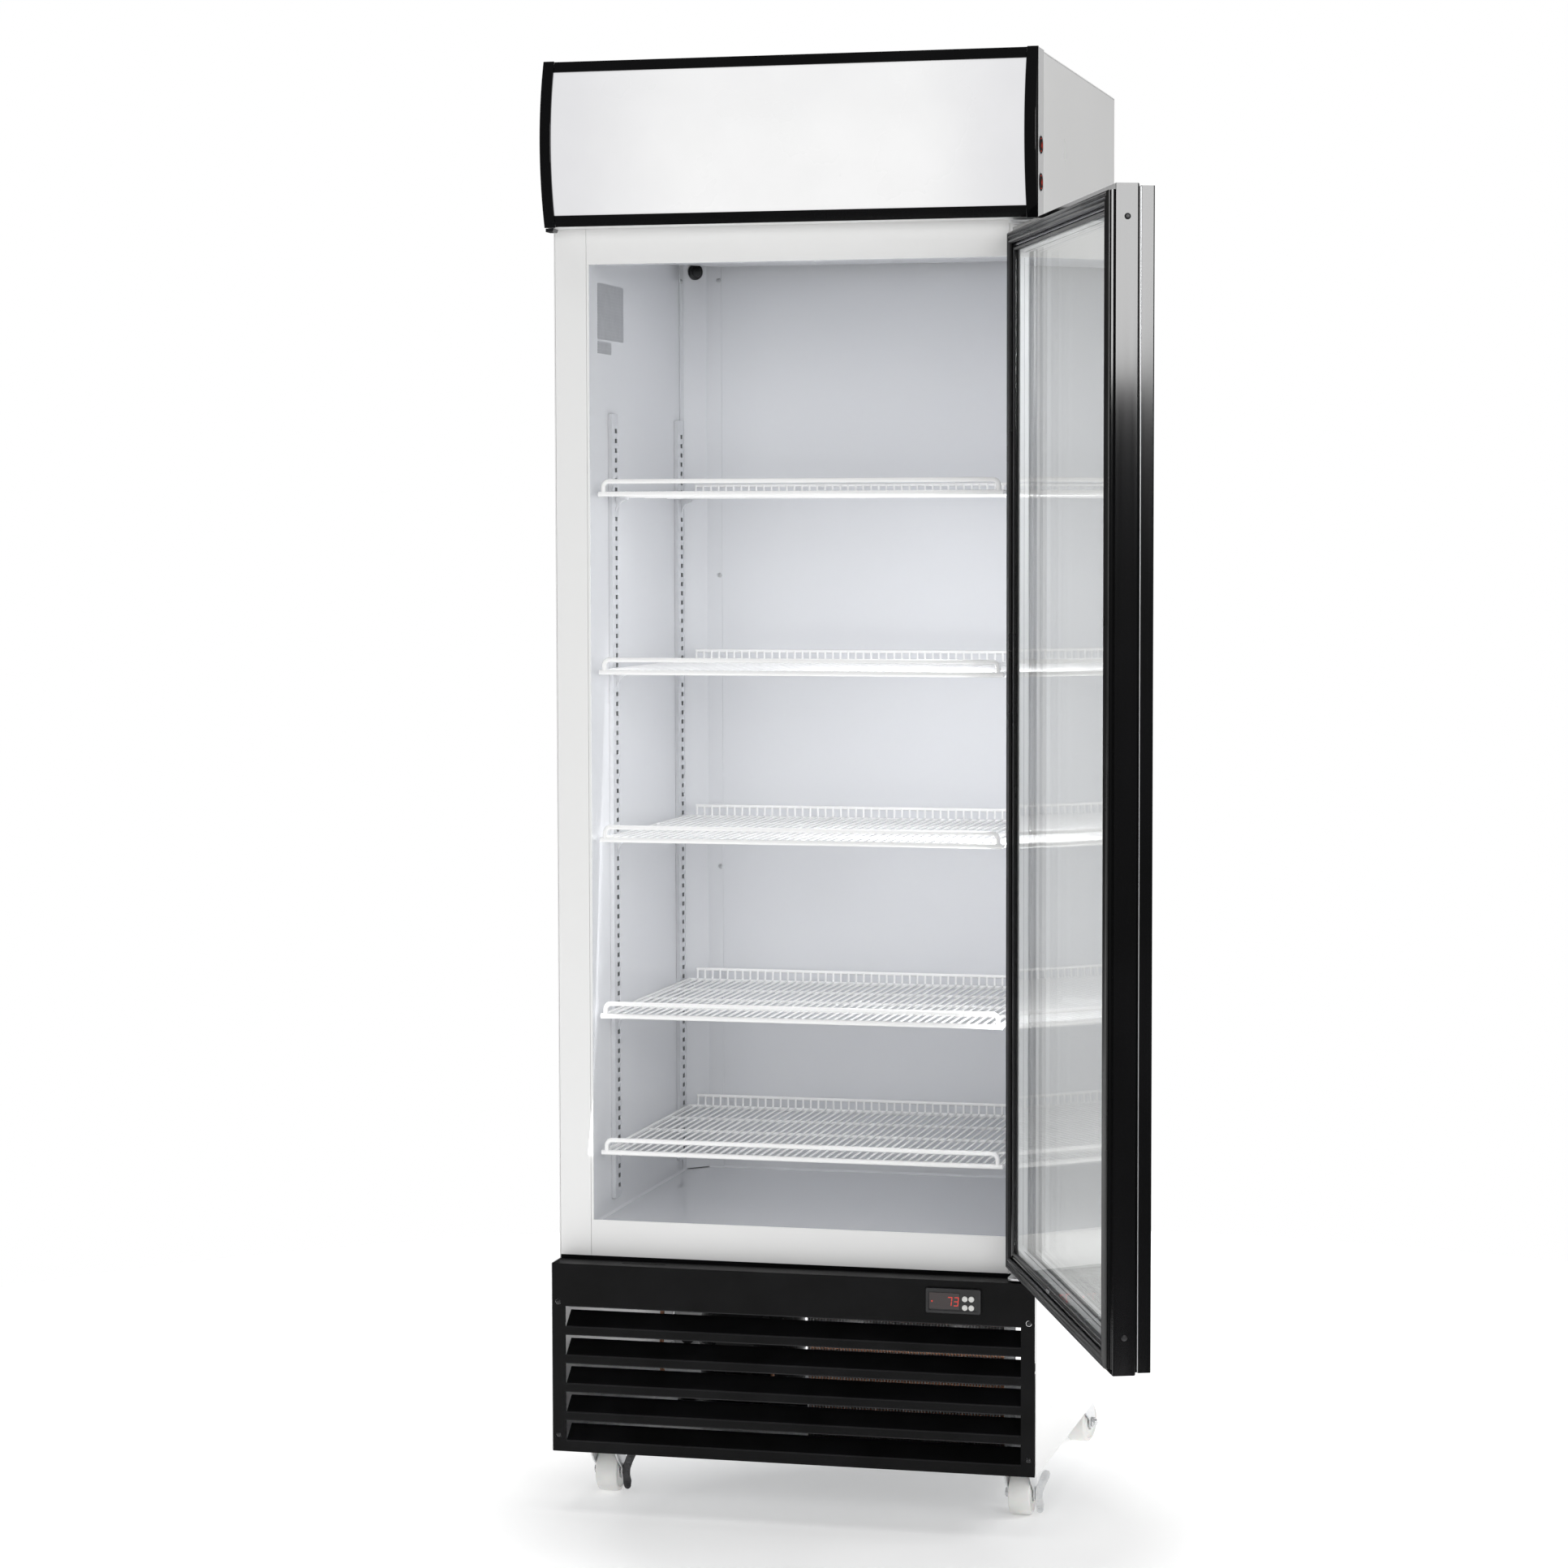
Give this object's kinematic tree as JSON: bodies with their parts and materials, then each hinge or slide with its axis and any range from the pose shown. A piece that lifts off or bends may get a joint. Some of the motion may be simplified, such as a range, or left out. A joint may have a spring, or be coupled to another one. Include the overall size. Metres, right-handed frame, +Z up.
{
  "type": "reach in refrigerator",
  "caption": "Upright reach in refrigerator with a hinged glass door, lit canopy, wire shelves, louvred machine bay and swivel casters.",
  "frame": {"origin": "bottom centre of the box around the whole object, with the door standing open as stored", "axes": "+X to the right seen from the front, +Y from the front to the back, +Z up"},
  "size_m": [0.9357, 1.2522, 2.019],
  "materials": {
    "white_paint": "satin white enamel",
    "liner": "satin grey-white liner over foam",
    "liner_sheet": "satin grey-white enamel",
    "black_trim": "gloss black",
    "sign_acrylic": "blank backlit white acrylic",
    "lamp": "opal tube",
    "red_rocker": "translucent red in a black surround",
    "zinc": "bright zinc plate",
    "black_paint": "satin black",
    "white_button": "white caps",
    "aluminium": "mill finish",
    "glass": "clear float glass",
    "rubber": "ribbed black gasket",
    "white_wire": "white coated steel wire",
    "nylon": "white nylon"
  },
  "bodies": {
    "cabinet": {"side_panel_right": "white_paint", "side_panel_left": "white_paint", "rear_and_top_skin": "white_paint", "face_frame": "white_paint", "canopy_housing": "white_paint", "insulated_wall_right": "liner", "insulated_wall_left": "liner", "insulated_wall_rear": "liner", "insulated_floor": "liner", "insulated_roof": "liner", "corner_column_right": "liner_sheet", "corner_column_left": "liner_sheet", "evaporator_cover": "liner_sheet", "canopy_cap_right": "black_trim", "canopy_cap_left": "black_trim", "canopy_trim_top": "black_trim", "canopy_trim_bottom": "black_trim", "controller": "black_trim", "sign_panel": "sign_acrylic", "canopy_lamp": "lamp", "chassis_base": "zinc", "hinge_bracket_top": "zinc", "hinge_bracket_bottom": "zinc", "front_grille": "black_paint", "compressor": "black_paint", "condenser": "aluminium", "evaporator_coil": "aluminium", "shelf_standard_right_front": "aluminium", "shelf_standard_left_front": "aluminium", "shelf_standard_right_rear": "aluminium", "shelf_standard_left_rear": "aluminium", "shelf_1": "white_wire", "shelf_2": "white_wire", "shelf_3": "white_wire", "shelf_4": "white_wire", "shelf_5": "white_wire"},
    "door": {"door_frame": "black_trim", "door_glass_outer": "glass", "door_glass_inner": "glass", "glass_spacer": "aluminium", "door_gasket": "rubber", "door_handle": "black_trim"},
    "swivel_front_left": {"caster_fork_front_left": "zinc"},
    "wheel_front_left": {"caster_wheel_front_left": "nylon"},
    "swivel_front_right": {"caster_fork_front_right": "zinc"},
    "wheel_front_right": {"caster_wheel_front_right": "nylon"},
    "swivel_rear_left": {"caster_fork_rear_left": "zinc"},
    "wheel_rear_left": {"caster_wheel_rear_left": "nylon"},
    "swivel_rear_right": {"caster_fork_rear_right": "zinc"},
    "wheel_rear_right": {"caster_wheel_rear_right": "nylon"},
    "brake_front_left": {"caster_brake_front_left": "zinc"},
    "brake_front_right": {"caster_brake_front_right": "zinc"},
    "rocker_upper": {"rocker_switch_upper": "red_rocker"},
    "rocker_lower": {"rocker_switch_lower": "red_rocker"},
    "button_1": {"controller_button_1": "white_button"},
    "button_2": {"controller_button_2": "white_button"},
    "button_3": {"controller_button_3": "white_button"},
    "button_4": {"controller_button_4": "white_button"},
    "condenser_fan": {"condenser_fan": "aluminium"},
    "evaporator_fan": {"evaporator_fan": "aluminium"}
  },
  "joints": [
    {"name": "door_hinge", "type": "hinge", "parent": "cabinet", "child": "door", "pos_m": [0.203, -0.003, 1], "axis": [0, 0, 1], "range_deg": [-111, 9]},
    {"name": "swivel_turn_front_left", "type": "hinge", "parent": "cabinet", "child": "swivel_front_left", "pos_m": [-0.423, 0.101, 0.06], "axis": [0, 0, 1], "continuous": true},
    {"name": "wheel_roll_front_left", "type": "hinge", "parent": "swivel_front_left", "child": "wheel_front_left", "pos_m": [-0.423, 0.123, 0.03], "axis": [1, 0, 0], "continuous": true},
    {"name": "brake_press_front_left", "type": "hinge", "parent": "swivel_front_left", "child": "brake_front_left", "pos_m": [-0.423, 0.123, 0.03], "axis": [1, 0, 0], "range_deg": [0, 25]},
    {"name": "swivel_turn_front_right", "type": "hinge", "parent": "cabinet", "child": "swivel_front_right", "pos_m": [0.177, 0.101, 0.06], "axis": [0, 0, 1], "continuous": true},
    {"name": "wheel_roll_front_right", "type": "hinge", "parent": "swivel_front_right", "child": "wheel_front_right", "pos_m": [0.177, 0.123, 0.03], "axis": [1, 0, 0], "continuous": true},
    {"name": "brake_press_front_right", "type": "hinge", "parent": "swivel_front_right", "child": "brake_front_right", "pos_m": [0.177, 0.123, 0.03], "axis": [1, 0, 0], "range_deg": [0, 25]},
    {"name": "swivel_turn_rear_left", "type": "hinge", "parent": "cabinet", "child": "swivel_rear_left", "pos_m": [-0.423, 0.561, 0.06], "axis": [0, 0, 1], "continuous": true},
    {"name": "wheel_roll_rear_left", "type": "hinge", "parent": "swivel_rear_left", "child": "wheel_rear_left", "pos_m": [-0.43052, 0.58167, 0.03], "axis": [0.9397, 0.342, 0], "continuous": true},
    {"name": "swivel_turn_rear_right", "type": "hinge", "parent": "cabinet", "child": "swivel_rear_right", "pos_m": [0.177, 0.561, 0.06], "axis": [0, 0, 1], "continuous": true},
    {"name": "wheel_roll_rear_right", "type": "hinge", "parent": "swivel_rear_right", "child": "wheel_rear_right", "pos_m": [0.18157, 0.58252, 0.03], "axis": [0.9781, -0.2079, 0], "continuous": true},
    {"name": "rocker_tilt_upper", "type": "hinge", "parent": "cabinet", "child": "rocker_upper", "pos_m": [0.2182, -0.002, 1.8895], "axis": [0, 1, 0], "range_deg": [-7, 7]},
    {"name": "rocker_tilt_lower", "type": "hinge", "parent": "cabinet", "child": "rocker_lower", "pos_m": [0.2182, -0.002, 1.84], "axis": [0, 1, 0], "range_deg": [-7, 7]},
    {"name": "button_press_1", "type": "slide", "parent": "cabinet", "child": "button_1", "axis": [0, 1, 0], "range_m": [0, 0.0008], "stiffness_N_per_m": 300, "springref_m": -0.0005},
    {"name": "button_press_2", "type": "slide", "parent": "cabinet", "child": "button_2", "axis": [0, 1, 0], "range_m": [0, 0.0008], "stiffness_N_per_m": 300, "springref_m": -0.0005},
    {"name": "button_press_3", "type": "slide", "parent": "cabinet", "child": "button_3", "axis": [0, 1, 0], "range_m": [0, 0.0008], "stiffness_N_per_m": 300, "springref_m": -0.0005},
    {"name": "button_press_4", "type": "slide", "parent": "cabinet", "child": "button_4", "axis": [0, 1, 0], "range_m": [0, 0.0008], "stiffness_N_per_m": 300, "springref_m": -0.0005},
    {"name": "condenser_fan_spin", "type": "hinge", "parent": "cabinet", "child": "condenser_fan", "pos_m": [0.027, 0.121, 0.215], "axis": [0, 1, 0], "continuous": true},
    {"name": "evaporator_fan_spin", "type": "hinge", "parent": "cabinet", "child": "evaporator_fan", "pos_m": [-0.123, 0.216, 1.81], "axis": [0, 0, 1], "continuous": true}
  ]
}
